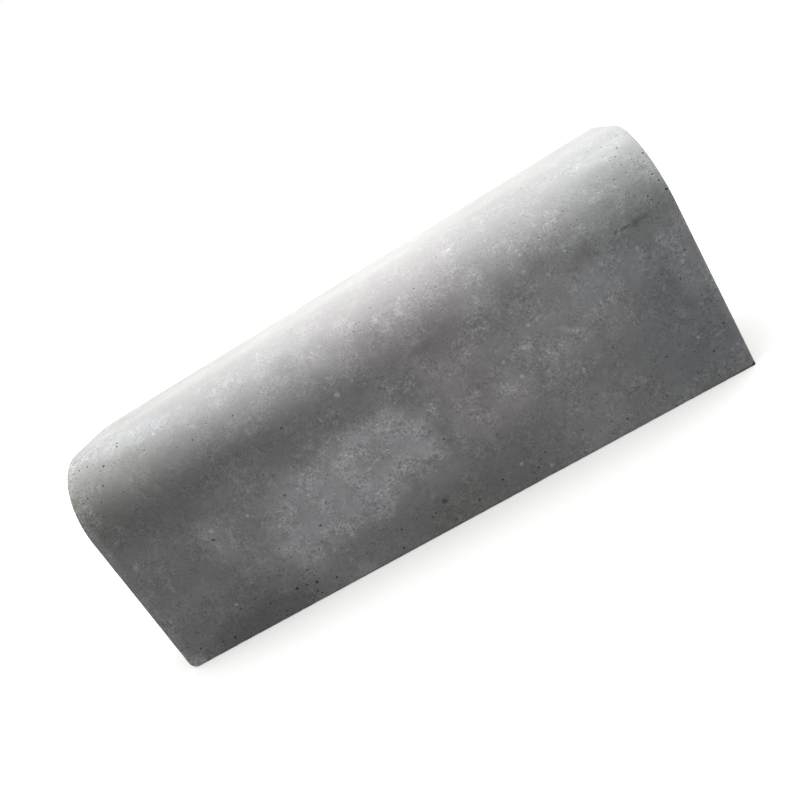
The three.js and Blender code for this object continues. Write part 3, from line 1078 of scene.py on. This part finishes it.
FLOOR_REACH = 60.0  # half the width of the floor, far past what any view shows
FLOOR_GAP = 0.1 * MM  # the floor lies this far under the base, so that the two never coincide
DIM_FLOOR = "595959"  # the floor bounces light as if it were this grey
WHITE = "ffffff"
KEY_SIZE = (0.9, 0.8)
KEY_PLACE = (0.25, 0.28, 1.6)
KEY_TARGET = (0.05, -0.03, 0.25)
WASH_STRENGTH = 3.2
WASH_ANGLE = math.radians(150)  # nearly the whole sky, so that the wash throws hardly any shadow
SENSOR = 36  # width of the camera's frame in millimetres


def white_sweep(settings):
    """White studio sweep. Towards the stone it bounces only as much light as a grey room floor."""
    material = new_material("white_sweep")
    tree = material.node_tree
    seen = add_node(tree, "ShaderNodeLightPath").outputs["Is Camera Ray"]
    bright = add_node(tree, "ShaderNodeBsdfDiffuse", {"Color": linear(settings.floor_colour)})
    dim = add_node(tree, "ShaderNodeBsdfDiffuse", {"Color": linear(DIM_FLOOR)})
    both = add_node(tree, "ShaderNodeMixShader", {0: seen, 1: dim, 2: bright})
    add_node(tree, "ShaderNodeOutputMaterial", {"Surface": both})
    return material


def add_floor(settings):
    """Lays the floor just under the stone."""
    bm = bmesh.new()
    level = Matrix.Translation((0, 0, BASE - FLOOR_GAP))
    bmesh.ops.create_grid(bm, x_segments=1, y_segments=1, size=FLOOR_REACH, matrix=level)
    floor = new_object("floor", bm)
    floor.data.materials.append(white_sweep(settings))
    return floor


def add_light(name, kind, strength):
    """Adds a light of a kind to the scene."""
    light = bpy.data.objects.new(name, bpy.data.lights.new(name, kind))
    light.data.energy = strength
    bpy.context.scene.collection.objects.link(light)
    return light


def add_lights(settings, floor):
    """Adds a soft key light overhead, for the stone alone, and a wash that whitens the floor alone."""
    key = add_light("key", "AREA", settings.key_strength)
    key.data.shape = "RECTANGLE"
    key.data.size, key.data.size_y = KEY_SIZE
    key.location = KEY_PLACE
    key.rotation_mode = "QUATERNION"
    key.rotation_quaternion = (Vector(KEY_TARGET) - Vector(KEY_PLACE)).to_track_quat("-Z", "Y")
    wash = add_light("wash", "SUN", WASH_STRENGTH)
    wash.data.angle = WASH_ANGLE
    floor_only = bpy.data.collections.new("floor_only")
    floor_only.objects.link(floor)
    wash.light_linking.receiver_collection = floor_only
    stone_only = bpy.data.collections.new("stone_only")
    for made in bpy.context.scene.objects:
        if made.type == "MESH" and made != floor:
            stone_only.objects.link(made)
    key.light_linking.receiver_collection = stone_only


def white_room(settings):
    """A plain room that lights the stone evenly. Behind the stone it shows white."""
    world = bpy.data.worlds.new("room")
    world.use_nodes = True
    tree = world.node_tree
    tree.nodes.clear()
    seen = add_node(tree, "ShaderNodeLightPath").outputs["Is Camera Ray"]
    backdrop = add_node(tree, "ShaderNodeBackground", {"Color": linear(WHITE), "Strength": 1.0})
    room = add_node(tree, "ShaderNodeBackground", {
        "Color": linear(WHITE), "Strength": settings.fill_strength})
    both = add_node(tree, "ShaderNodeMixShader", {0: seen, 1: room, 2: backdrop})
    add_node(tree, "ShaderNodeOutputWorld", {"Surface": both})
    return world


def add_camera(settings):
    """Adds the camera. Level and facing +Y, it is turned by its heading, pitch and roll."""
    camera = bpy.data.objects.new("camera", bpy.data.cameras.new("camera"))
    camera.data.lens = settings.lens
    camera.data.sensor_width = SENSOR
    camera.location = settings.camera_place
    facing = Euler((QUARTER_TURN - settings.pitch, 0, -settings.heading)).to_matrix()
    camera.rotation_euler = (facing @ Matrix.Rotation(-settings.roll, 3, "Z")).to_euler()
    bpy.context.scene.collection.objects.link(camera)
    return camera


class KERB_OT_add_studio(bpy.types.Operator):
    """Adds the pale floor, the soft lights, the room and the camera."""

    bl_idname = "kerb.add_studio"
    bl_label = "Add studio"

    def execute(self, context):
        settings = context.scene.kerb_studio
        add_lights(settings, add_floor(settings))
        context.scene.world = white_room(settings)
        context.scene.view_settings.view_transform = "Standard"
        context.scene.camera = add_camera(settings)
        return {"FINISHED"}


class KERB_PT_panel(bpy.types.Panel):
    """Shows the buttons that add the kerb stone and its studio."""

    bl_label = "Kerb stone"
    bl_idname = "KERB_PT_panel"
    bl_space_type = "VIEW_3D"
    bl_region_type = "UI"
    bl_category = "Kerb"

    def draw(self, context):
        self.layout.operator(KERB_OT_add_stone.bl_idname)
        self.layout.operator(KERB_OT_add_studio.bl_idname)


CLASSES = (KerbStoneSettings, KerbStudioSettings, KERB_OT_add_stone, KERB_OT_add_studio, KERB_PT_panel)


def register():
    for made in CLASSES:
        bpy.utils.register_class(made)
    bpy.types.Scene.kerb_stone = bpy.props.PointerProperty(type=KerbStoneSettings)
    bpy.types.Scene.kerb_studio = bpy.props.PointerProperty(type=KerbStudioSettings)


def unregister():
    del bpy.types.Scene.kerb_studio
    del bpy.types.Scene.kerb_stone
    for made in reversed(CLASSES):
        bpy.utils.unregister_class(made)


def main():
    register()
    bpy.ops.kerb.add_stone()
    bpy.ops.kerb.add_studio()


if __name__ == "__main__":
    main()
